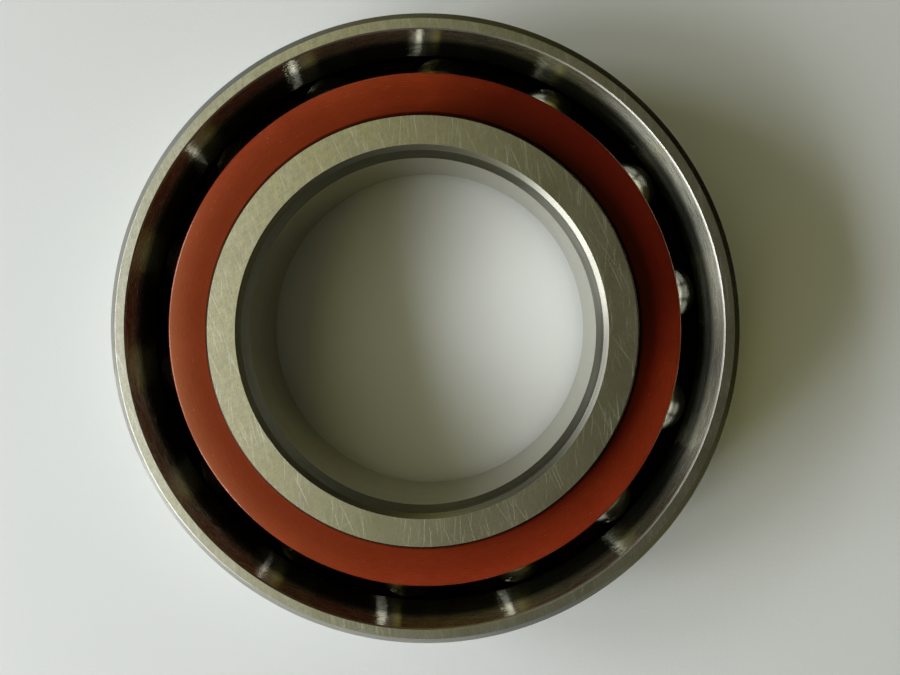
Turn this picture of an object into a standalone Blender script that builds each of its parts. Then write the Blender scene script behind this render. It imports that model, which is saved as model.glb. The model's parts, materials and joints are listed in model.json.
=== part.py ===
"""Single-row angular contact ball bearing, 50 x 90 x 20 mm, modelled piece by piece.

Frame: metres, +Z up. The origin is where the bearing's axis meets the plane of the back
face, so the bearing stands on its back face. The front face, at the top, shows the
counterbored side of the outer ring.
"""
import math

import bmesh
import bpy
from mathutils import Vector

MM = 0.001

# Boundary dimensions of the bearing.
BORE_RADIUS = 25.0 * MM
OUTSIDE_RADIUS = 45.0 * MM
WIDTH = 20.0 * MM

# Ball set.
BALL_COUNT = 14
BALL_RADIUS = 6.35 * MM
PITCH_RADIUS = 35.0 * MM
BALL_HEIGHT = WIDTH / 2
FIRST_BALL_ANGLE = math.radians(9.0)
CONTACT_ANGLE = math.radians(25.0)

# Raceways: the groove is a little wider than the ball, and clears it by this gap.
GROOVE_RADIUS = 1.045 * BALL_RADIUS
RACE_GAP = 0.12 * MM
GROOVE_STEPS = 8

# Outer ring.
OUTER_CHAMFER_RADIAL = 1.1 * MM
OUTER_CHAMFER_AXIAL = 1.2 * MM
MOUTH_RADIUS = 42.6 * MM
MOUTH_CHAMFER = 0.45 * MM
LIP_RADIUS = 40.7 * MM
LIP_HEIGHT = 13.3 * MM
HIGH_SHOULDER_RADIUS = 38.5 * MM
HIGH_SHOULDER_CHAMFER = 0.6 * MM

# Inner ring.
LAND_RADIUS = 30.8 * MM
LAND_CHAMFER = 0.4 * MM
BORE_CHAMFER_RADIAL = 1.5 * MM
BORE_CHAMFER_AXIAL = 2.3 * MM
BORE_CHAMFER_MID_RADIAL = 0.95 * MM
BORE_CHAMFER_MID_AXIAL = 0.75 * MM

# Cage.
CAGE_INNER_RADIUS = 31.3 * MM
CAGE_OUTER_RADIUS = 37.25 * MM
CAGE_WIDTH = 15.6 * MM
CAGE_CHAMFER = 0.35 * MM
POCKET_RADIUS = BALL_RADIUS + 0.2 * MM
POCKET_SIDES = 28
CUTTER_INNER_RADIUS = CAGE_INNER_RADIUS - 0.9 * MM
CUTTER_OUTER_RADIUS = CAGE_OUTER_RADIUS + 1.2 * MM

# Facets. The turned pieces have six flats for each ball, so every pocket is alike.
TURNED_SEGMENTS = 6 * BALL_COUNT
BALL_MERIDIANS = 20
BALL_PARALLELS = 12
SMOOTH_LIMIT = math.radians(30)


def clear_scene():
    for thing in list(bpy.data.objects):
        bpy.data.objects.remove(thing, do_unlink=True)


def principled(name, colour, roughness, metallic):
    material = bpy.data.materials.new(name)
    material.use_nodes = True
    shader = material.node_tree.nodes["Principled BSDF"]
    shader.inputs["Base Color"].default_value = (*colour, 1.0)
    shader.inputs["Roughness"].default_value = roughness
    shader.inputs["Metallic"].default_value = metallic
    material.diffuse_color = (*colour, 1.0)
    return material


def ring_steel():
    return principled("ground_bearing_steel", (0.42, 0.41, 0.34), 0.32, 1.0)


def ball_steel():
    return principled("polished_ball_steel", (0.72, 0.72, 0.70), 0.06, 1.0)


def cage_resin():
    return principled("fabric_reinforced_resin", (0.26, 0.075, 0.025), 0.5, 0.0)


def link_object(name, mesh, material):
    mesh.shade_smooth()
    mesh.set_sharp_from_angle(angle=SMOOTH_LIMIT)
    if not mesh.materials:
        mesh.materials.append(material)
    thing = bpy.data.objects.new(name, mesh)
    bpy.context.scene.collection.objects.link(thing)
    return thing


def turned_mesh(name, outline):
    """Spin a closed outline of (radius, height) points once around the Z axis."""
    bm = bmesh.new()
    corners = [bm.verts.new((radius, 0.0, height)) for radius, height in outline]
    edges = [
        bm.edges.new((corner, corners[(place + 1) % len(corners)]))
        for place, corner in enumerate(corners)
    ]
    bmesh.ops.spin(
        bm,
        geom=corners + edges,
        cent=(0.0, 0.0, 0.0),
        axis=(0.0, 0.0, 1.0),
        angle=2 * math.pi,
        steps=TURNED_SEGMENTS,
        use_merge=True,
    )
    bmesh.ops.recalc_face_normals(bm, faces=bm.faces)
    mesh = bpy.data.meshes.new(name)
    bm.to_mesh(mesh)
    bm.free()
    return mesh


def groove_swing(centre_radius, shoulder_radius):
    """Angle from the radial direction at which a raceway groove meets its shoulder."""
    return math.acos(abs(shoulder_radius - centre_radius) / GROOVE_RADIUS)


def groove_arc(centre_radius, start, end):
    """Points of the groove's arc between two angles, measured from the radial direction."""
    points = []
    for step in range(GROOVE_STEPS + 1):
        angle = start + (end - start) * step / GROOVE_STEPS
        radius = centre_radius + GROOVE_RADIUS * math.cos(angle)
        height = BALL_HEIGHT + GROOVE_RADIUS * math.sin(angle)
        points.append((radius, height))
    return points


def outer_ring_outline():
    """Outside, front face, counterbore, lip, raceway, high shoulder and back face."""
    centre_radius = PITCH_RADIUS + BALL_RADIUS + RACE_GAP - GROOVE_RADIUS
    arc = groove_arc(
        centre_radius,
        groove_swing(centre_radius, LIP_RADIUS),
        -groove_swing(centre_radius, HIGH_SHOULDER_RADIUS),
    )
    face_edge = OUTSIDE_RADIUS - OUTER_CHAMFER_RADIAL
    return [
        (OUTSIDE_RADIUS, OUTER_CHAMFER_AXIAL),
        (OUTSIDE_RADIUS, WIDTH - OUTER_CHAMFER_AXIAL),
        (face_edge, WIDTH),
        (MOUTH_RADIUS, WIDTH),
        (MOUTH_RADIUS - MOUTH_CHAMFER, WIDTH - MOUTH_CHAMFER),
        (LIP_RADIUS, LIP_HEIGHT),
        *arc,
        (HIGH_SHOULDER_RADIUS, HIGH_SHOULDER_CHAMFER),
        (HIGH_SHOULDER_RADIUS + HIGH_SHOULDER_CHAMFER, 0.0),
        (face_edge, 0.0),
    ]


def inner_ring_outline():
    """Back half from the raceway down to the bore, then the front half, its mirror image."""
    centre_radius = PITCH_RADIUS - BALL_RADIUS - RACE_GAP + GROOVE_RADIUS
    swing = groove_swing(centre_radius, LAND_RADIUS)
    arc = groove_arc(centre_radius, math.pi - swing, math.pi + swing)
    back = [
        (LAND_RADIUS, LAND_CHAMFER),
        (LAND_RADIUS - LAND_CHAMFER, 0.0),
        (BORE_RADIUS + BORE_CHAMFER_RADIAL, 0.0),
        (BORE_RADIUS + BORE_CHAMFER_MID_RADIAL, BORE_CHAMFER_MID_AXIAL),
        (BORE_RADIUS, BORE_CHAMFER_AXIAL),
    ]
    front = [(radius, WIDTH - height) for radius, height in reversed(back)]
    return [*arc, *back, *front]


def cage_outline():
    low = (WIDTH - CAGE_WIDTH) / 2
    high = low + CAGE_WIDTH
    return [
        (CAGE_OUTER_RADIUS, low + CAGE_CHAMFER),
        (CAGE_OUTER_RADIUS, high - CAGE_CHAMFER),
        (CAGE_OUTER_RADIUS - CAGE_CHAMFER, high),
        (CAGE_INNER_RADIUS + CAGE_CHAMFER, high),
        (CAGE_INNER_RADIUS, high - CAGE_CHAMFER),
        (CAGE_INNER_RADIUS, low + CAGE_CHAMFER),
        (CAGE_INNER_RADIUS + CAGE_CHAMFER, low),
        (CAGE_OUTER_RADIUS - CAGE_CHAMFER, low),
    ]


def ball_angles():
    return [FIRST_BALL_ANGLE + 2 * math.pi * place / BALL_COUNT for place in range(BALL_COUNT)]


def build_outer_ring(steel):
    return link_object("outer_ring", turned_mesh("outer_ring", outer_ring_outline()), steel)


def build_inner_ring(steel):
    return link_object("inner_ring", turned_mesh("inner_ring", inner_ring_outline()), steel)


def pocket_cutter(resin):
    """One mesh of radial cylinders, one for each ball pocket, that don't touch each other."""
    bm = bmesh.new()
    length = CUTTER_OUTER_RADIUS - CUTTER_INNER_RADIUS
    middle = (CUTTER_OUTER_RADIUS + CUTTER_INNER_RADIUS) / 2
    for angle in ball_angles():
        outward = Vector((math.cos(angle), math.sin(angle), 0.0))
        turn = outward.to_track_quat("Z", "X").to_matrix().to_4x4()
        turn.translation = outward * middle + Vector((0.0, 0.0, BALL_HEIGHT))
        bmesh.ops.create_cone(
            bm,
            cap_ends=True,
            segments=POCKET_SIDES,
            radius1=POCKET_RADIUS,
            radius2=POCKET_RADIUS,
            depth=length,
            matrix=turn,
        )
    mesh = bpy.data.meshes.new("pocket_cutter")
    bm.to_mesh(mesh)
    bm.free()
    cutter = link_object("pocket_cutter", mesh, resin)
    cutter.hide_render = True
    cutter.display_type = "WIRE"
    return cutter


def build_cage(resin):
    cage = link_object("cage", turned_mesh("cage", cage_outline()), resin)
    drill = cage.modifiers.new("ball_pockets", "BOOLEAN")
    drill.operation = "DIFFERENCE"
    drill.solver = "EXACT"
    drill.object = pocket_cutter(resin)
    return cage


def ball_mesh():
    mesh = bpy.data.meshes.new("ball")
    bm = bmesh.new()
    bmesh.ops.create_uvsphere(
        bm, u_segments=BALL_MERIDIANS, v_segments=BALL_PARALLELS, radius=BALL_RADIUS
    )
    bm.to_mesh(mesh)
    bm.free()
    return mesh


def build_balls(cage, steel):
    """Balls ride in the cage; each one's local Z axis is the axis that it rolls about."""
    mesh = ball_mesh()
    for number, angle in enumerate(ball_angles(), start=1):
        outward = Vector((math.cos(angle), math.sin(angle), 0.0))
        rolling_axis = outward * math.sin(CONTACT_ANGLE)
        rolling_axis.z = math.cos(CONTACT_ANGLE)
        ball = link_object(f"ball_{number:02d}", mesh, steel)
        ball.rotation_mode = "QUATERNION"
        ball.rotation_quaternion = rolling_axis.to_track_quat("Z", "Y")
        ball.location = outward * PITCH_RADIUS + Vector((0.0, 0.0, BALL_HEIGHT))
        ball.parent = cage


def main():
    clear_scene()
    steel = ring_steel()
    build_outer_ring(steel)
    build_inner_ring(steel)
    cage = build_cage(cage_resin())
    build_balls(cage, ball_steel())


main()
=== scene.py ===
"""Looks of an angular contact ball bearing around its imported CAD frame.

The rings are turned from softened outlines, the cage is meshed pocket by pocket, and every
surface has a procedural finish: ground faces, turned chamfers, honed races, polished balls
and fabric-reinforced resin. Metres, +Z up; the bearing lies on its back face.
"""

import json
import math

import bmesh
import bpy
from mathutils import Matrix, Vector


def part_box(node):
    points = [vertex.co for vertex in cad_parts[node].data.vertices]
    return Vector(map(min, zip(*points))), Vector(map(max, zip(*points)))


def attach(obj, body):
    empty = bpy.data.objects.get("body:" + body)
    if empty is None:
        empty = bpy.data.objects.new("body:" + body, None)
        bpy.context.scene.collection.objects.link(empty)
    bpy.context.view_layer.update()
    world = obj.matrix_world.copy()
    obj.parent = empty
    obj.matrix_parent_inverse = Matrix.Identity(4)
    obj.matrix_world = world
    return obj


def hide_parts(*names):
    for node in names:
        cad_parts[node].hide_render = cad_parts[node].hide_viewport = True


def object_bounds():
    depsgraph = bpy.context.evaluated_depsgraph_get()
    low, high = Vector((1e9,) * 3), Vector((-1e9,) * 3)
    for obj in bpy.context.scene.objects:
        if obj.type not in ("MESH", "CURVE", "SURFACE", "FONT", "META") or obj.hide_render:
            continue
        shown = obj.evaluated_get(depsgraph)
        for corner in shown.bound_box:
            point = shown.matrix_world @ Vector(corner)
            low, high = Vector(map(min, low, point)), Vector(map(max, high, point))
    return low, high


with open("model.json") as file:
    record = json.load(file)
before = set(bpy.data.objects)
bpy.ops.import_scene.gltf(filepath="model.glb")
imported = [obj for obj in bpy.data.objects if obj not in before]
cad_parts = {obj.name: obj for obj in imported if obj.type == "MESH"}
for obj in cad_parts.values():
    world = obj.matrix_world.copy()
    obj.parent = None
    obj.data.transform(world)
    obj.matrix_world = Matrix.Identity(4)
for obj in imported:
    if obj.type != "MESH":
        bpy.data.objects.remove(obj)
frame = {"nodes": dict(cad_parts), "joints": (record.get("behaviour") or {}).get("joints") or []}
cad_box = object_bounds()

MM = 0.001

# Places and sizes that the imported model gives.
BASE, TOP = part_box("outer_ring")[0].z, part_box("outer_ring")[1].z
WIDTH = TOP - BASE
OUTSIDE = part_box("outer_ring")[1].x
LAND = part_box("inner_ring")[1].x
CAGE_LOW, CAGE_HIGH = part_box("cage")[0].z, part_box("cage")[1].z
CAGE_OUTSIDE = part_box("cage")[1].x
BALL_JOINTS = [joint for joint in frame["joints"] if joint["child"].startswith("ball_")]
BALL_COUNT = len(BALL_JOINTS)
FIRST_BALL = Vector(BALL_JOINTS[0]["pos_m"])
PITCH = FIRST_BALL.xy.length
MIDDLE = FIRST_BALL.z


def axis_distances(node):
    return [vertex.co.xy.length for vertex in frame["nodes"][node].data.vertices]


BORE = min(axis_distances("inner_ring"))
CAGE_INSIDE = min(axis_distances("cage"))
BALL = max((vertex.co - FIRST_BALL).length for vertex in frame["nodes"]["ball_01"].data.vertices)

# Cross-sections of the rings.
GROOVE = 1.045 * BALL
RACE_GAP = 0.12 * MM
GROOVE_STEPS = 20
OUTER_CHAMFER = (1.1 * MM, 1.2 * MM)
OUTER_CHAMFER_MID = (0.24 * MM, 0.56 * MM)
MOUTH = OUTSIDE - 2.4 * MM
MOUTH_CHAMFER = (0.17 * MM, 0.23 * MM)
LIP = OUTSIDE - 4.3 * MM
LIP_HEIGHT = TOP - 6.7 * MM
HIGH_SHOULDER = OUTSIDE - 6.5 * MM
SHOULDER_CHAMFER = 0.6 * MM
LAND_CHAMFER = 0.25 * MM
BORE_CHAMFER = (1.5 * MM, 2.3 * MM)
BORE_CHAMFER_MID = (0.85 * MM, 0.68 * MM)

# Softened edges: the radius that an edge is broken with, and how mesh loops hold it.
SHARP_EDGE = 0.04 * MM
WORN_EDGE = 0.08 * MM
HOLD = 0.03 * MM
EDGE_STEPS = 4
TURN_STEPS = 24 * BALL_COUNT

# Cage.
CAGE_CHAMFER = 1.0 * MM
CROWN_EDGE = 0.10 * MM
CROWN_BEVEL = (0.17 * MM, 0.058 * MM)
CROWN_EDGE_TURN = math.radians(70)
CROWN_EDGE_STEPS = 5
CROWN_DROP = 0.50 * MM
CROWN_WIDTH = 4.6 * MM
CROWN_STEPS = 10
CROWN_POWER = 2.0
INNER_EDGE = 0.3 * MM
POCKET = BALL + 0.2 * MM
POCKET_EDGE = 0.12 * MM
SIDE_STEPS = 12

# How far each loop lies from a sector's rim to its pocket's edge, and through the wall.
RIM_TO_POCKET = (0.0, 0.2, 0.4, 0.6, 0.8, 0.93)
THROUGH_WALL = (0.25, 0.5, 0.75)
MERGE_DISTANCE = 0.001 * MM


# ---------------------------------------------------------------- turned rings


def broken_edge(before, corner, after, radius):
    """Points that round a corner with an arc, held by a loop on each side of it."""
    back = (before - corner).normalized()
    ahead = (after - corner).normalized()
    half = back.angle(ahead) / 2
    reach = radius / math.tan(half)
    centre = corner + (back + ahead).normalized() * radius / math.sin(half)
    first = corner + back * reach - centre
    last = corner + ahead * reach - centre
    sweep = last.angle_signed(first)
    arc = [
        centre + Matrix.Rotation(sweep * step / EDGE_STEPS, 2) @ first
        for step in range(EDGE_STEPS + 1)
    ]
    return [centre + first + back * HOLD, *arc, centre + last + ahead * HOLD]


def softened(outline, edge_surface):
    """Rounds the corners of an outline of (radius, height, edge radius, surface) rows.

    A row's surface is the one that runs from its corner to the next. The result holds
    (radius, height, surface) rows.
    """
    corners = [Vector(row[:2]) for row in outline]
    rows = []
    for place, (_, _, edge, surface) in enumerate(outline):
        corner = corners[place]
        if not edge:
            rows.append((corner.x, corner.y, surface))
            continue
        after = corners[(place + 1) % len(corners)]
        arc = broken_edge(corners[place - 1], corner, after, edge)
        surfaces = [outline[place - 1][3]] + [edge_surface] * EDGE_STEPS + [surface] * 2
        rows += [(point.x, point.y, name) for point, name in zip(arc, surfaces)]
    return rows


def turned_ring(name, outline, edge_surface, finishes):
    """Spins a softened outline around Z and gives each surface its own finish."""
    rows = softened(outline, edge_surface)
    names = sorted({surface for _, _, surface in rows})
    bm = bmesh.new()
    loops = []
    for turn in range(TURN_STEPS):
        angle = 2 * math.pi * turn / TURN_STEPS
        cos, sin = math.cos(angle), math.sin(angle)
        loops.append([bm.verts.new((radius * cos, radius * sin, z)) for radius, z, _ in rows])
    for turn, loop in enumerate(loops):
        following = loops[(turn + 1) % TURN_STEPS]
        for place, (_, _, surface) in enumerate(rows):
            onward = (place + 1) % len(rows)
            face = bm.faces.new((loop[place], following[place], following[onward], loop[onward]))
            face.material_index = names.index(surface)
            face.smooth = True
    bmesh.ops.recalc_face_normals(bm, faces=bm.faces)
    ring = finished_object(name, bm)
    for surface in names:
        ring.data.materials.append(finishes[surface])
    return ring


def finished_object(name, bm):
    mesh = bpy.data.meshes.new(name)
    bm.to_mesh(mesh)
    bm.free()
    thing = bpy.data.objects.new(name, mesh)
    bpy.context.scene.collection.objects.link(thing)
    return thing


def groove(centre, start, end):
    """Rows of a raceway's arc between two angles, measured from the outward direction."""
    rows = []
    for step in range(GROOVE_STEPS + 1):
        angle = start + (end - start) * step / GROOVE_STEPS
        across, up = GROOVE * math.cos(angle), GROOVE * math.sin(angle)
        rows.append((centre + across, MIDDLE + up, 0, "race"))
    return rows


def swing(centre, shoulder):
    return math.acos(abs(shoulder - centre) / GROOVE)


def outer_outline():
    centre = PITCH + BALL + RACE_GAP - GROOVE
    arc = groove(centre, swing(centre, LIP), -swing(centre, HIGH_SHOULDER))
    arc[-1] = (*arc[-1][:3], "turned")
    radial, axial = OUTER_CHAMFER
    mid_radial, mid_axial = OUTER_CHAMFER_MID
    mouth_radial, mouth_axial = MOUTH_CHAMFER
    return [
        (OUTSIDE, BASE + axial, WORN_EDGE, "ground"),
        (OUTSIDE, TOP - axial, WORN_EDGE, "corner"),
        (OUTSIDE - mid_radial, TOP - mid_axial, WORN_EDGE, "corner"),
        (OUTSIDE - radial, TOP, WORN_EDGE, "outer_face"),
        (MOUTH, TOP, SHARP_EDGE, "chamfer"),
        (MOUTH - mouth_radial, TOP - mouth_axial, SHARP_EDGE, "turned"),
        (LIP, LIP_HEIGHT, SHARP_EDGE, "turned"),
        *arc,
        (HIGH_SHOULDER, BASE + SHOULDER_CHAMFER, SHARP_EDGE, "chamfer"),
        (HIGH_SHOULDER + SHOULDER_CHAMFER, BASE, SHARP_EDGE, "outer_face"),
        (OUTSIDE - radial, BASE, WORN_EDGE, "corner"),
        (OUTSIDE - mid_radial, BASE + mid_axial, WORN_EDGE, "corner"),
    ]


def inner_outline():
    centre = PITCH - BALL - RACE_GAP + GROOVE
    half = swing(centre, LAND)
    arc = groove(centre, math.pi - half, math.pi + half)
    arc[-1] = (*arc[-1][:3], "land")
    radial, axial = BORE_CHAMFER
    mid_radial, mid_axial = BORE_CHAMFER_MID
    corners = [
        (LAND, LAND_CHAMFER, SHARP_EDGE),
        (LAND - LAND_CHAMFER, 0.0, SHARP_EDGE),
        (BORE + radial, 0.0, WORN_EDGE),
        (BORE + mid_radial, mid_axial, SHARP_EDGE),
        (BORE, axial, SHARP_EDGE),
    ]
    # The land's chamfers carry painted shade for the shadow gap beside the cage.
    back_surfaces = ["oily_edge", "inner_face", "bore_mouth", "bore_step", "bore"]
    front_surfaces = ["bore_step", "bore_mouth", "inner_face", "oily_edge", "land"]
    back = [
        (radius, BASE + depth, edge, surface)
        for (radius, depth, edge), surface in zip(corners, back_surfaces)
    ]
    front = [
        (radius, TOP - depth, edge, surface)
        for (radius, depth, edge), surface in zip(reversed(corners), front_surfaces)
    ]
    return [*arc, *back, *front]


# ------------------------------------------------------------------------ cage


def pocket_loop(radius, opening):
    """Points where a pocket of some opening meets a cylinder: (turn, height, slope) rows."""
    points = []
    for turn, height in sector_rim():
        slope = math.atan2(height, radius * turn)
        across = opening * math.cos(slope)
        points.append((math.asin(across / radius), opening * math.sin(slope), slope))
    return points


def sector_rim():
    """The rim of one pocket's sector of the cage, anticlockwise, as (turn, height) pairs."""
    half_turn = math.pi / BALL_COUNT
    half_height = (CAGE_HIGH - CAGE_LOW) / 2 - CAGE_CHAMFER
    corners = [(1, -1), (1, 1), (-1, 1), (-1, -1)]
    rim = []
    for (x0, y0), (x1, y1) in zip(corners, corners[1:] + corners[:1]):
        for step in range(SIDE_STEPS):
            share = step / SIDE_STEPS
            x = x0 + (x1 - x0) * share
            y = y0 + (y1 - y0) * share
            rim.append((x * half_turn, y * half_height))
    return rim


def on_cylinder(radius, turn, height):
    return Vector((radius * math.cos(turn), radius * math.sin(turn), height))


def pocket_rows(radius, inward):
    """Rings of points from a sector's rim to its pocket and round the pocket's edge.

    inward is -1 where the material lies towards the axis, and +1 where it lies outward.
    """
    rim = sector_rim()
    hole = pocket_loop(radius, POCKET + POCKET_EDGE)
    rows = []
    for share in RIM_TO_POCKET:
        row = []
        for (rim_turn, rim_height), (hole_turn, hole_height, _) in zip(rim, hole):
            turn = rim_turn + (hole_turn - rim_turn) * share
            height = rim_height + (hole_height - rim_height) * share
            row.append(on_cylinder(radius, turn, height))
        rows.append(row)
    for step in range(EDGE_STEPS + 1):
        bend = math.pi / 2 * step / EDGE_STEPS
        opening = POCKET + POCKET_EDGE * (1 - math.sin(bend))
        sink = POCKET_EDGE * (1 - math.cos(bend))
        rows.append([pocket_point(radius, opening, slope, inward * sink) for _, _, slope in hole])
    held = inward * (POCKET_EDGE + HOLD)
    rows.append([pocket_point(radius, POCKET, slope, held) for _, _, slope in hole])
    return rows


def pocket_point(radius, opening, slope, sink):
    across = opening * math.cos(slope)
    return Vector((math.sqrt(radius**2 - across**2) + sink, across, opening * math.sin(slope)))


def cage_sector_rows():
    """Rings of points that run over the outside, through the pocket and over the inside."""
    outside = pocket_rows(CAGE_OUTSIDE, -1)
    inside = pocket_rows(CAGE_INSIDE, 1)
    wall = [
        [near.lerp(far, share) for near, far in zip(outside[-1], inside[-1])]
        for share in THROUGH_WALL
    ]
    return outside + wall + inside[::-1]


def cage_end_rows(side):
    """Points (radius, height) of the cage's crowned end, from the outside to the inside."""
    half = (CAGE_HIGH - CAGE_LOW) / 2
    reach = CAGE_CHAMFER
    bevel_run, bevel_rise = CROWN_BEVEL
    edge_rise = reach - CROWN_DROP - bevel_rise
    shoulder = CAGE_OUTSIDE - CROWN_EDGE - bevel_run
    crest = CAGE_OUTSIDE - CROWN_WIDTH
    points = [(CAGE_OUTSIDE, half - reach)]
    for step in range(1, CROWN_EDGE_STEPS + 1):
        bend = CROWN_EDGE_TURN * step / CROWN_EDGE_STEPS
        rise = edge_rise * math.sin(bend) / math.sin(CROWN_EDGE_TURN)
        draw = CROWN_EDGE * (1 - math.cos(bend)) / (1 - math.cos(CROWN_EDGE_TURN))
        points.append((CAGE_OUTSIDE - draw, half - reach + rise))
    for step in range(CROWN_STEPS + 1):
        share = step / CROWN_STEPS
        fall = CROWN_DROP * (1 - share) ** CROWN_POWER
        points.append((shoulder + (crest - shoulder) * share, half - fall))
    inner = CAGE_INSIDE + INNER_EDGE
    points += [(inner + HOLD, half), (inner, half), (CAGE_INSIDE, half - reach)]
    return [(radius, side * height) for radius, height in points]


def machined_cage(name, resin, rubbed_resin):
    bm = bmesh.new()
    sector = cage_sector_rows()
    half_turn = math.pi / BALL_COUNT
    first_turn = math.atan2(FIRST_BALL.y, FIRST_BALL.x)
    for pocket in range(BALL_COUNT):
        place = Matrix.Translation((0, 0, MIDDLE)) @ Matrix.Rotation(
            first_turn + 2 * half_turn * pocket, 4, "Z"
        )
        add_grid(bm, [[place @ point for point in row] for row in sector], closed=True)
        for side in (-1, 1):
            rows = []
            for radius, height in cage_end_rows(side):
                turns = [half_turn * (2 * step / SIDE_STEPS - 1) for step in range(SIDE_STEPS + 1)]
                rows.append([place @ on_cylinder(radius, turn, height) for turn in turns])
            strips = add_grid(bm, rows, closed=False)
            for strip in strips[: CROWN_EDGE_STEPS + 1]:
                for face in strip:
                    face.material_index = 1
    bmesh.ops.remove_doubles(bm, verts=bm.verts, dist=MERGE_DISTANCE)
    bmesh.ops.recalc_face_normals(bm, faces=bm.faces)
    cage = finished_object(name, bm)
    cage.data.materials.append(resin)
    cage.data.materials.append(rubbed_resin)
    return cage


def add_grid(bm, rows, closed):
    """Joins rows of points with strips of faces, and hands on the strips."""
    grid = [[bm.verts.new(point) for point in row] for row in rows]
    strips = []
    for row, following in zip(grid, grid[1:]):
        strip = []
        for place in range(len(row) if closed else len(row) - 1):
            onward = (place + 1) % len(row)
            corners = (row[place], row[onward], following[onward], following[place])
            strip.append(bm.faces.new(corners))
            strip[-1].smooth = True
        strips.append(strip)
    return strips


# ----------------------------------------------------------------------- balls

BALL_CUTS = 15


def ball_mesh(steel):
    """A cube cut into a fine grid and blown up to a sphere, so it has no pinched poles."""
    bm = bmesh.new()
    bmesh.ops.create_cube(bm, size=2.0)
    bmesh.ops.subdivide_edges(bm, edges=bm.edges, cuts=BALL_CUTS, use_grid_fill=True)
    for vertex in bm.verts:
        even = Vector([math.tan(math.pi / 4 * share) for share in vertex.co])
        vertex.co = even.normalized() * BALL
    for face in bm.faces:
        face.smooth = True
    mesh = bpy.data.meshes.new("polished_ball")
    bm.to_mesh(mesh)
    bm.free()
    mesh.materials.append(steel)
    return mesh


def polished_balls(steel):
    mesh = ball_mesh(steel)
    for joint in BALL_JOINTS:
        ball = bpy.data.objects.new("polished_" + joint["child"], mesh)
        bpy.context.scene.collection.objects.link(ball)
        ball.rotation_mode = "QUATERNION"
        ball.rotation_quaternion = Vector(joint["axis"]).to_track_quat("Z", "Y")
        ball.location = joint["pos_m"]
        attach(ball, joint["child"])
        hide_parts(joint["child"])


# ------------------------------------------------------------------- materials


# How far above its rarity the noise has to rise for a scratch to be full.
SCRATCH_FADE = 0.035


class Finish:
    """A material's node tree, with short calls that add a node and hand on its output."""

    def __init__(self, name, colour, roughness, metallic=0.0):
        self.material = bpy.data.materials.new(name)
        self.material.use_nodes = True
        self.tree = self.material.node_tree
        self.shader = self.tree.nodes["Principled BSDF"]
        self.set("Base Color", (*colour, 1.0))
        self.set("Roughness", roughness)
        self.set("Metallic", metallic)
        place = self.node("ShaderNodeTexCoord").outputs["Object"]
        scaling = {0: place, "Scale": 1 / MM}
        self.place = self.node("ShaderNodeVectorMath", scaling, operation="SCALE").outputs[0]
        parts = self.node("ShaderNodeSeparateXYZ", {0: self.place}).outputs
        self.x, self.y, self.z = parts[0], parts[1], parts[2]

    def set(self, socket, value):
        target = self.shader.inputs[socket]
        if isinstance(value, bpy.types.NodeSocket):
            self.tree.links.new(value, target)
        else:
            target.default_value = value

    def node(self, kind, inputs=None, **settings):
        added = self.tree.nodes.new(kind)
        for key, value in settings.items():
            setattr(added, key, value)
        for key, value in (inputs or {}).items():
            if isinstance(value, bpy.types.NodeSocket):
                self.tree.links.new(value, added.inputs[key])
            else:
                added.inputs[key].default_value = value
        return added

    def maths(self, operation, *values):
        return self.node("ShaderNodeMath", dict(enumerate(values)), operation=operation).outputs[0]

    def spread(self, x, y, z):
        """A vector of three values, each divided by a size in millimetres."""
        values = {}
        for place, (value, size) in enumerate((x, y, z)):
            values[place] = self.maths("DIVIDE", value, size)
        return self.node("ShaderNodeCombineXYZ", values).outputs[0]

    def noise(self, vector, detail=2.0, roughness=0.5):
        inputs = {"Vector": vector, "Scale": 1.0, "Detail": detail, "Roughness": roughness}
        return self.node("ShaderNodeTexNoise", inputs).outputs["Fac"]

    def ramp(self, value, low, high, start=0.0, end=1.0):
        inputs = {"Value": value, "From Min": low, "From Max": high, "To Min": start, "To Max": end}
        return self.node("ShaderNodeMapRange", inputs).outputs["Result"]

    def tint(self, amount, low, high):
        """A colour between two others."""
        inputs = {0: amount, 6: (*low, 1.0), 7: (*high, 1.0)}
        return self.node("ShaderNodeMix", inputs, data_type="RGBA").outputs[2]

    def over(self, amount, below, colour):
        """A colour laid over an earlier one."""
        inputs = {0: amount, 6: below, 7: (*colour, 1.0)}
        return self.node("ShaderNodeMix", inputs, data_type="RGBA").outputs[2]

    def bump(self, height, depth):
        """Bump whose height of 1 stands for a depth in millimetres."""
        inputs = {"Height": height, "Strength": 1.0, "Distance": depth * MM}
        self.set("Normal", self.node("ShaderNodeBump", inputs).outputs[0])

    def total(self, *weighted):
        result = 0.0
        for value, weight in weighted:
            result = self.maths("MULTIPLY_ADD", value, weight, result)
        return result

    def radius(self):
        squares = self.maths("MULTIPLY_ADD", self.x, self.x, self.maths("MULTIPLY", self.y, self.y))
        return self.maths("SQRT", squares)

    def strokes(self, along, across, angle, width, length, seed):
        """Noise drawn out into strokes at an angle between two running lengths."""
        cos, sin = math.cos(angle), math.sin(angle)
        side = self.total((across, cos), (along, sin))
        run = self.total((across, -sin), (along, cos))
        return self.noise(self.spread((side, width), (run, length), (seed, 1.0)))

    def scratches(self, angle, width, length, seed, rarity):
        """Sparse straight scratches across the part; 1 on a scratch and 0 beside it."""
        lines = self.strokes(self.x, self.y, angle, width, length, seed)
        return self.ramp(lines, rarity, rarity + SCRATCH_FADE)


# Hairlines of the side faces: angle, length in millimetres, seed; and the width they share.
FACE_HAIRS = [
    (82, 7.0, 1.3),
    (67, 5.5, 5.1),
    (96, 5.0, 7.7),
    (-36, 6.0, 9.2),
]
HAIR_WIDTH = 0.20

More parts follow.
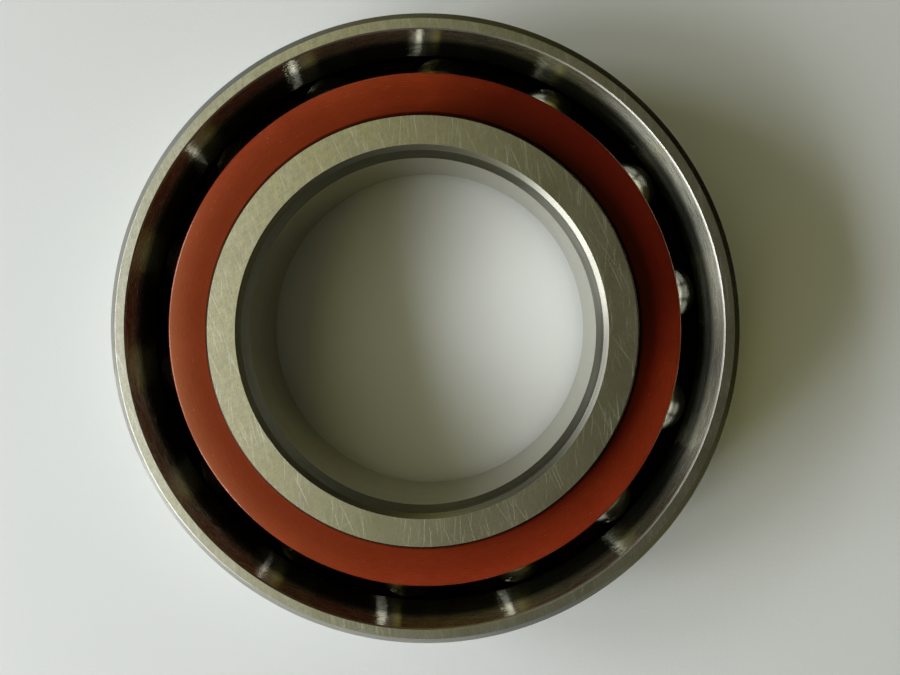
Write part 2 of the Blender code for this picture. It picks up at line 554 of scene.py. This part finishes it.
# Scratches of the side faces: angle, width and length in millimetres, seed, rarity.
FACE_SCRATCHES = [
    (84, 0.17, 9.0, 2.7, 0.67),
    (75, 0.17, 14.0, 8.2, 0.68),
    (65, 0.17, 12.0, 4.4, 0.68),
    (93, 0.17, 8.0, 6.9, 0.67),
    (54, 0.17, 11.0, 11.5, 0.70),
    (-32, 0.17, 10.0, 13.1, 0.71),
]
SCRATCH_COLOUR = (0.86, 0.85, 0.80)
STAIN_COLOUR = (0.42, 0.39, 0.30)

# The two rings' side faces, each from dark to bright; the inner one is yellowed by old oil.
OUTER_FACE_STEEL = ((0.48, 0.478, 0.435), (0.715, 0.712, 0.672))
INNER_FACE_STEEL = ((0.50, 0.49, 0.415), (0.75, 0.735, 0.64))


def face_steel(name, colours):
    """Side faces: mottled fine grinding, crossed by hairlines and a few deep handling scratches."""
    finish = Finish(name, colours[0], 0.36, 1.0)
    plane = (finish.x, finish.y)
    close = finish.spread((finish.x, 0.22), (finish.y, 0.22), (finish.z, 1.0))
    grit = finish.noise(close, 3.0, 0.65)
    mottle = finish.noise(finish.spread((finish.x, 0.9), (finish.y, 0.9), (finish.z, 2.0)), 2.0)
    patches = finish.noise(finish.spread((finish.x, 7.0), (finish.y, 7.0), (finish.z, 9.0)))
    hairs = [
        finish.strokes(*plane, math.radians(angle), HAIR_WIDTH, length, seed)
        for angle, length, seed in FACE_HAIRS
    ]
    hair = finish.total(*((line, 1 / len(hairs)) for line in hairs))
    cuts = [
        finish.scratches(math.radians(angle), width, length, seed, rarity)
        for angle, width, length, seed, rarity in FACE_SCRATCHES
    ]
    marks = cuts[0]
    for cut in cuts[1:]:
        marks = finish.maths("MAXIMUM", marks, cut)
    grain = finish.total((hair, 1.2), (grit, 0.62), (mottle, 0.56), (1.0, -0.69))
    shade = finish.ramp(grain, 0.31, 0.69)
    colour = finish.tint(shade, *colours)
    stain = finish.ramp(patches, 0.56, 0.76, 0.0, 0.40)
    colour = finish.over(stain, colour, STAIN_COLOUR)
    colour = finish.over(finish.maths("MULTIPLY", marks, 0.26), colour, SCRATCH_COLOUR)
    finish.set("Base Color", colour)
    rough = finish.total((grain, -0.20), (patches, 0.10), (marks, 0.08), (1.0, 0.42))
    finish.set("Roughness", rough)
    finish.bump(finish.total((grain, 1.0), (marks, -0.4)), 0.006)
    return finish.material


# A quarter turn from the tangent: marks round the axis spread light across themselves.
ACROSS_THE_MARKS = 0.25
STROKE_WAVES = 37

# Painted shade deep in the counterbore: its colour, the depths that it starts and is full at, how
# far that wanders, and the metallic value there.
DEEP_SHADE_COLOUR = (0.036, 0.038, 0.034)
DEEP_SHADE_DEPTHS = (2.9, 4.2)
DEEP_SHADE_WANDER = 1.2
SHADED_CONE_METALLIC = 0.95


def turned_steel(name, colours, roughness, pitch, depth, aniso, sway=0.0, stroke=24.0, deep_shade=0.0):
    """Tool or grinding marks round the axis; a sway slants them into short crossing strokes.

    The last argument is the share of painted shade that darkens the surface deep inside the
    bearing, where the cage and inner ring shade it.
    """
    finish = Finish(name, colours[0], roughness, 1.0)
    profile = finish.total((finish.radius(), 0.8), (finish.z, 1.0))
    turn = finish.maths("ARCTAN2", finish.y, finish.x)
    waves = finish.maths("SINE", finish.maths("MULTIPLY", turn, STROKE_WAVES))
    slanted = finish.total((profile, 1.0), (waves, sway))
    fine = finish.noise(
        finish.spread((finish.x, stroke), (finish.y, stroke), (slanted, pitch)), 3.0, 0.6
    )
    broad = finish.noise(finish.spread((finish.x, 11.0), (finish.y, 11.0), (profile, 7 * pitch)))
    grain = finish.total((fine, 0.7), (broad, 0.3))
    colour = finish.tint(finish.ramp(grain, 0.35, 0.65), *colours)
    # Painted shade: darkens the cone deep in the counterbore, below where the light reaches.
    if deep_shade:
        depth_in = finish.total((finish.z, -1.0), (grain, DEEP_SHADE_WANDER), (1.0, WIDTH / MM))
        painted_shade = finish.ramp(depth_in, *DEEP_SHADE_DEPTHS, 0.0, deep_shade)
        colour = finish.over(painted_shade, colour, DEEP_SHADE_COLOUR)
        finish.set("Metallic", SHADED_CONE_METALLIC)
    finish.set("Base Color", colour)
    finish.set("Roughness", finish.total((grain, 0.8 * roughness), (1.0, 0.6 * roughness)))
    finish.set("Anisotropic", aniso)
    finish.set("Anisotropic Rotation", ACROSS_THE_MARKS)
    tangent = finish.node("ShaderNodeTangent", direction_type="RADIAL", axis="Z").outputs[0]
    finish.set("Tangent", tangent)
    finish.bump(grain, depth)
    return finish.material


def ball_steel():
    """Lapped balls: nearly a mirror, with a faint haze of fine wear."""
    finish = Finish("polished_ball_steel", (0.67, 0.655, 0.60), 0.03, 1.0)
    haze = finish.noise(finish.spread((finish.x, 2.2), (finish.y, 2.2), (finish.z, 2.2)), 3.0)
    lines = finish.noise(finish.spread((finish.x, 0.5), (finish.y, 4.0), (finish.z, 0.5)))
    finish.set("Base Color", finish.tint(haze, (0.62, 0.605, 0.55), (0.72, 0.705, 0.65)))
    finish.set("Roughness", finish.total((haze, 0.020), (lines, 0.010)))
    return finish.material


RESIN = (0.30, 0.044, 0.020)
RESIN_DARK = (0.235, 0.032, 0.0145)
RESIN_PALE = (0.365, 0.058, 0.026)

# Painted shadow: the inner ring's shadow on the cage is painted as a dark arc of the resin: its
# middle, and how its edge fades (as a cosine).
RESIN_PAINTED_SHADOW = (0.06, 0.006, 0.003)
PAINTED_SHADOW_ARC = math.radians(40)
PAINTED_SHADOW_SPREAD = (0.80, 1.02)
# Inside that arc the painted shadow is darkest beside the inner ring: its colour, and the radii it
# fades out over.
RESIN_DEEP_SHADOW = (0.015, 0.003, 0.0015)
DEEP_SHADOW_RADII = (32.6, 36.2)

# Painted shade: the resin darkens towards the inner ring, and most of all beside it, where the ring
# shades it: radii and amounts.
RESIN_PAINTED_SHADE = (0.12, 0.016, 0.0075)
PAINTED_SHADE_RADII = (34.2, 36.6)
SHADE_BESIDE_RING = (32.0, 34.0)

# Painted shade: inside the bearing, where the rings shade it, the resin is darker and browner: its
# colour there, and how far from mid-height.
RESIN_SHADED_INSIDE = (0.075, 0.035, 0.022)
SHADED_INSIDE_HEIGHTS = (6.6, 6.9)


# The plain and the rubbed resin: gloss, gloss tint, roughness, relief in millimetres.
PLAIN_RESIN = (0.34, (1.0, 0.70, 0.26), 0.42, 0.012)
RUBBED_RESIN = (0.95, (1.0, 0.92, 0.80), 0.19, 0.001)

# The cloth's thread and layer in millimetres, and the pale flecks in the resin.
THREAD = 0.55
LAYER = 0.36
FLECK_COLOUR = (0.55, 0.30, 0.20)

# How strongly each painted shadow and painted shade darkens the resin.
PAINTED_SHADOW_AMOUNT = 0.68
DEEP_SHADOW_AMOUNT = 0.75
PAINTED_SHADE_AMOUNT = 0.46
SHADE_BESIDE_RING_AMOUNT = 0.14
SHADED_INSIDE_AMOUNT = 0.75


def cage_resin(name, gloss, gloss_tint, roughness, relief):
    """Wound cotton cloth in phenolic resin, turned: wavy layers, threads, pale flecks.

    relief is the depth of the tool marks, in millimetres.
    """
    finish = Finish(name, RESIN, roughness)
    finish.set("Specular IOR Level", gloss)
    finish.set("Specular Tint", (*gloss_tint, 1.0))
    radius = finish.radius()
    turn = finish.maths("ARCTAN2", finish.y, finish.x)
    arc = finish.maths("MULTIPLY", turn, PITCH / MM)
    wave_arc = finish.maths("SINE", finish.maths("MULTIPLY", arc, 2 * math.pi / THREAD))
    wave_up = finish.maths("SINE", finish.maths("MULTIPLY", finish.z, 2 * math.pi / THREAD))
    wander = finish.noise(finish.spread((finish.x, 5.0), (finish.y, 5.0), (finish.z, 5.0)))
    layers = finish.total(
        (finish.maths("MULTIPLY", wave_arc, wave_up), 0.22),
        (radius, 1 / LAYER),
        (wander, 2.4),
    )
    cloth = finish.maths("COSINE", finish.maths("MULTIPLY", layers, 2 * math.pi))
    fibre = finish.noise(finish.spread((arc, 1.6), (radius, 0.14), (finish.z, 0.8)), 3.0, 0.6)
    flecks = finish.noise(finish.spread((arc, 0.5), (radius, 0.2), (finish.z, 0.3)), 2.0)
    flecks = finish.ramp(flecks, 0.70, 0.76)
    patches = finish.noise(finish.spread((finish.x, 9.0), (finish.y, 9.0), (finish.z, 9.0)))
    shade = finish.total((cloth, 0.10), (fibre, 0.75), (patches, 0.45), (1.0, -0.10))
    colour = finish.tint(finish.ramp(shade, 0.25, 0.75), RESIN_DARK, RESIN_PALE)
    colour = finish.over(finish.maths("MULTIPLY", flecks, 0.5), colour, FLECK_COLOUR)
    # Painted shadow of the inner ring, laid over an arc of the cage.
    shadow_arc = finish.maths("COSINE", finish.total((turn, 1.0), (1.0, -PAINTED_SHADOW_ARC)))
    shadow_arc = finish.total((shadow_arc, 1.0), (patches, 0.3))
    shadow_arc = finish.ramp(shadow_arc, *PAINTED_SHADOW_SPREAD)
    colour = finish.over(finish.maths("MULTIPLY", shadow_arc, PAINTED_SHADOW_AMOUNT), colour, RESIN_PAINTED_SHADOW)
    # Painted shadow: darkest beside the inner ring within that arc.
    inward = finish.ramp(radius, *DEEP_SHADOW_RADII, DEEP_SHADOW_AMOUNT, 0.0)
    colour = finish.over(finish.maths("MULTIPLY", shadow_arc, inward), colour, RESIN_DEEP_SHADOW)
    # Painted shade towards the inner ring, and deepest beside it.
    painted_shade = finish.total(
        (finish.ramp(radius, *PAINTED_SHADE_RADII, PAINTED_SHADE_AMOUNT, 0.0), 1.0),
        (finish.ramp(radius, *SHADE_BESIDE_RING, SHADE_BESIDE_RING_AMOUNT, 0.0), 1.0),
    )
    colour = finish.over(painted_shade, colour, RESIN_PAINTED_SHADE)
    # Painted shade on the cage's sides that lie inside the bearing.
    from_middle = finish.maths("ABSOLUTE", finish.total((finish.z, 1.0), (1.0, -MIDDLE / MM)))
    inside = finish.ramp(from_middle, *SHADED_INSIDE_HEIGHTS, SHADED_INSIDE_AMOUNT, 0.0)
    colour = finish.over(inside, colour, RESIN_SHADED_INSIDE)
    finish.set("Base Color", colour)
    finish.set("Roughness", finish.total((fibre, 0.16), (cloth, 0.02), (1.0, roughness - 0.08)))
    profile = finish.total((radius, 1.0), (finish.z, 0.9))
    tool = finish.noise(finish.spread((finish.x, 20.0), (finish.y, 20.0), (profile, 0.12)), 2.0)
    finish.bump(finish.total((tool, 0.8), (fibre, 0.4), (cloth, 0.05)), relief)
    return finish.material


def paper():
    finish = Finish("matt_white_paper", (0.82, 0.84, 0.85), 0.85)
    close = finish.spread((finish.x, 0.5), (finish.y, 0.5), (finish.z, 1.0))
    fibres = finish.noise(close, 4.0, 0.6)
    clouds = finish.noise(finish.spread((finish.x, 40.0), (finish.y, 40.0), (finish.z, 1.0)))
    shade = finish.total((fibres, 0.5), (clouds, 0.5))
    finish.set("Base Color", finish.tint(shade, (0.805, 0.825, 0.84), (0.84, 0.855, 0.87)))
    finish.bump(fibres, 0.02)
    return finish.material


# Short crossing strokes on the counterbore's cone, with painted shade deep inside it, and on the
# chamfers.
CONE_MARKS = {"sway": 0.12, "stroke": 3.0, "deep_shade": 0.86}
CHAMFER_MARKS = {"sway": 0.05, "stroke": 4.0}


def steel_finishes():
    """One finish for each surface: name, colours, roughness, pitch, depth, anisotropy."""
    plain = ((0.55, 0.545, 0.505), (0.67, 0.665, 0.62))
    bored = ((0.48, 0.465, 0.40), (0.66, 0.64, 0.56))
    worn = ((0.51, 0.505, 0.465), (0.62, 0.615, 0.57))
    matt = ((0.29, 0.283, 0.245), (0.43, 0.42, 0.37))
    mild = ((0.335, 0.33, 0.265), (0.51, 0.505, 0.41))
    grey = ((0.17, 0.165, 0.14), (0.25, 0.245, 0.21))
    faint = ((0.225, 0.22, 0.18), (0.335, 0.33, 0.28))
    # Painted shade: the land's chamfer, in the gap beside the cage, is coloured near black.
    land_edge_shade = ((0.05, 0.045, 0.034), (0.09, 0.08, 0.06))
    return {
        "outer_face": face_steel("ground_outer_face", OUTER_FACE_STEEL),
        "inner_face": face_steel("ground_inner_face", INNER_FACE_STEEL),
        "corner": turned_steel("tumbled_corner", worn, 0.14, 0.30, 0.001, 0.0),
        "ground": turned_steel("ground_seat", plain, 0.26, 0.09, 0.0015, 0.6),
        "bore": turned_steel("ground_bore", bored, 0.21, 0.09, 0.0015, 0.6),
        "turned": turned_steel("turned_cone", mild, 0.27, 0.15, 0.0025, 1.0, **CONE_MARKS),
        "chamfer": turned_steel("turned_chamfer", matt, 0.38, 0.12, 0.003, 0.6, **CHAMFER_MARKS),
        "edge": turned_steel("broken_edge", plain, 0.32, 0.2, 0.002, 0.0),
        "dull_edge": turned_steel("dulled_edge", grey, 0.44, 0.2, 0.002, 0.0),
        "race": turned_steel("honed_raceway", plain, 0.05, 0.5, 0.0001, 0.0),
        "land": turned_steel("ground_land", plain, 0.22, 0.08, 0.003, 0.5),
        "oily_edge": turned_steel("painted_shade_land_edge", land_edge_shade, 0.40, 0.12, 0.003, 0.6),
        "bore_step": turned_steel("turned_bore_step", grey, 0.34, 0.12, 0.004, 0.8),
        "bore_mouth": turned_steel("turned_bore_mouth", faint, 0.36, 0.12, 0.003, 0.6),
    }


# ------------------------------------------------------- floor, lights, camera

FLOOR_RADIUS = 6.0
FLOOR_SIDES = 96
FLOOR_GAP = 0.05 * MM


def lay_floor():
    bm = bmesh.new()
    bmesh.ops.create_circle(bm, cap_ends=True, segments=FLOOR_SIDES, radius=FLOOR_RADIUS)
    floor = finished_object("paper_floor", bm)
    floor.location.z = cad_box[0][2] - FLOOR_GAP
    floor.data.materials.append(paper())


# Two soft lights stand to the left: which way, their sizes, heights and radiance. PANES is
# how many panes each has, and PANE_BAR is a bar's share of the distance between panes.
LAMP_DISTANCE = 0.55
LAMPS = {
    "low_strip": (math.radians(209), (0.42, 0.09), 0.14, 16.4),
    "tall_window": (math.radians(191), (0.74, 0.20), 0.39, 12.4),
}
LAMP_COLOUR = (0.97, 1.0, 1.04)
PANES = 3
PANE_BAR = 0.22

# The room overhead and the room round the horizon, each from its dark side on the right to
# its bright side on the left: how far a direction leans that way, and its colour there.
OVERHEAD_STOPS = [
    (-1.0, (0.13, 0.12, 0.065)),
    (-0.70, (0.10, 0.092, 0.05)),
    (-0.45, (0.02, 0.018, 0.01)),
    (-0.12, (0.045, 0.04, 0.022)),
    (0.03, (0.03, 0.03, 0.014)),
    (0.17, (0.05, 0.045, 0.016)),
    (0.27, (0.80, 0.75, 0.22)),
    (0.36, (0.74, 0.72, 0.37)),
    (0.48, (0.54, 0.54, 0.48)),
    (0.60, (0.30, 0.30, 0.26)),
    (0.75, (0.08, 0.08, 0.07)),
]
HORIZON_STOPS = [
    (-1.0, (0.006, 0.006, 0.003)),
    (-0.70, (0.045, 0.042, 0.02)),
    (-0.25, (0.115, 0.11, 0.068)),
    (0.25, (0.24, 0.25, 0.24)),
    (0.70, (0.60, 0.61, 0.60)),
    (1.0, (0.85, 0.86, 0.82)),
]
OVERHEAD_WAY = math.radians(172)
HORIZON_WAY = math.radians(207)
HORIZON_RISE = (0.16, 0.36)


def light_window(name, turn, size, lift, radiance):
    """A window of equal panes with dark bars between them; the bars show in the balls."""
    pitch = size[0] / PANES
    pane = (pitch * (1 - PANE_BAR), size[1])
    lamp = bpy.data.lights.new(name, "AREA")
    lamp.shape = "RECTANGLE"
    lamp.size, lamp.size_y = pane
    lamp.energy = radiance * math.pi * pane[0] * pane[1]
    lamp.color = LAMP_COLOUR
    side = Vector((math.cos(turn), math.sin(turn), 0.0))
    across = Vector((-side.y, side.x, 0.0))
    for place in range(PANES):
        window = bpy.data.objects.new(f"{name}_{place}", lamp)
        shift = across * pitch * (place - (PANES - 1) / 2)
        window.location = side * LAMP_DISTANCE + shift + Vector((0, 0, lift))
        window.rotation_mode = "QUATERNION"
        window.rotation_quaternion = side.to_track_quat("Z", "Y")
        window.visible_camera = False
        bpy.context.scene.collection.objects.link(window)


def room_ramp(tree, direction, way, stops):
    """Colours across the room, from the side away from a direction to the side it points at."""
    lean = tree.nodes.new("ShaderNodeVectorMath")
    lean.operation = "DOT_PRODUCT"
    tree.links.new(direction, lean.inputs[0])
    lean.inputs[1].default_value = (math.cos(way), math.sin(way), 0.0)
    share = tree.nodes.new("ShaderNodeMapRange")
    tree.links.new(lean.outputs["Value"], share.inputs["Value"])
    share.inputs["From Min"].default_value = -1.0
    ramp = tree.nodes.new("ShaderNodeValToRGB")
    tree.links.new(share.outputs["Result"], ramp.inputs[0])
    marks = ramp.color_ramp.elements
    while len(marks) < len(stops):
        marks.new(0.5)
    for mark, (leaning, colour) in zip(marks, stops):
        mark.position = (leaning + 1) / 2
        mark.color = (*colour, 1.0)
    return ramp.outputs[0]


def light_room():
    world = bpy.data.worlds.new("room")
    bpy.context.scene.world = world
    world.use_nodes = True
    tree = world.node_tree
    direction = tree.nodes.new("ShaderNodeTexCoord").outputs["Generated"]
    parts = tree.nodes.new("ShaderNodeSeparateXYZ")
    tree.links.new(direction, parts.inputs[0])
    rise = tree.nodes.new("ShaderNodeMapRange")
    tree.links.new(parts.outputs[2], rise.inputs["Value"])
    rise.inputs["From Min"].default_value, rise.inputs["From Max"].default_value = HORIZON_RISE
    blend = tree.nodes.new("ShaderNodeMix")
    blend.data_type = "RGBA"
    tree.links.new(rise.outputs["Result"], blend.inputs[0])
    tree.links.new(room_ramp(tree, direction, HORIZON_WAY, HORIZON_STOPS), blend.inputs[6])
    tree.links.new(room_ramp(tree, direction, OVERHEAD_WAY, OVERHEAD_STOPS), blend.inputs[7])
    tree.links.new(blend.outputs[2], tree.nodes["Background"].inputs["Color"])


CAMERA_SHIFT = Vector((8.85, 4.43)) * MM
CAMERA_RISE = 116.7 * MM
CAMERA_TILTS = (math.radians(2.45), math.radians(-2.28))
CAMERA_LENS = 33.12
SENSOR_WIDTH = 36.0


def place_camera():
    lens = bpy.data.cameras.new("camera")
    lens.sensor_width = SENSOR_WIDTH
    lens.lens = CAMERA_LENS
    lens.clip_start = 0.005
    camera = bpy.data.objects.new("camera", lens)
    tilt = Matrix.Rotation(CAMERA_TILTS[0], 3, "X") @ Matrix.Rotation(CAMERA_TILTS[1], 3, "Y")
    camera.matrix_world = Matrix.Translation((*CAMERA_SHIFT, TOP + CAMERA_RISE)) @ (
        tilt.transposed().to_4x4()
    )
    bpy.context.scene.collection.objects.link(camera)
    bpy.context.scene.camera = camera


# Deep shadows: how bright a dark tone becomes, on a curve that leaves light tones alone.
TONES = [(0.01, 0.0045), (0.03, 0.0214), (0.07, 0.060), (0.20, 0.189)]


def deepen_shadows():
    view = bpy.context.scene.view_settings
    view.view_transform = "Standard"
    view.use_curve_mapping = True
    curve = view.curve_mapping.curves[3]
    for tone, shown in TONES:
        curve.points.new(tone, shown)
    for point in curve.points:
        point.handle_type = "VECTOR"
    view.curve_mapping.update()


# ------------------------------------------------------------------------ main


def dress(piece, node):
    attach(piece, node)
    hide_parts(node)


def main():
    finishes = steel_finishes()
    outer_ring = turned_ring("turned_outer_ring", outer_outline(), "edge", finishes)
    inner_ring = turned_ring("turned_inner_ring", inner_outline(), "dull_edge", finishes)
    dress(outer_ring, "outer_ring")
    dress(inner_ring, "inner_ring")
    resin = cage_resin("fabric_reinforced_resin", *PLAIN_RESIN)
    rubbed_resin = cage_resin("rubbed_resin_edge", *RUBBED_RESIN)
    dress(machined_cage("machined_cage", resin, rubbed_resin), "cage")
    polished_balls(ball_steel())
    lay_floor()
    for name, lamp in LAMPS.items():
        light_window(name, *lamp)
    light_room()
    place_camera()
    deepen_shadows()


main()
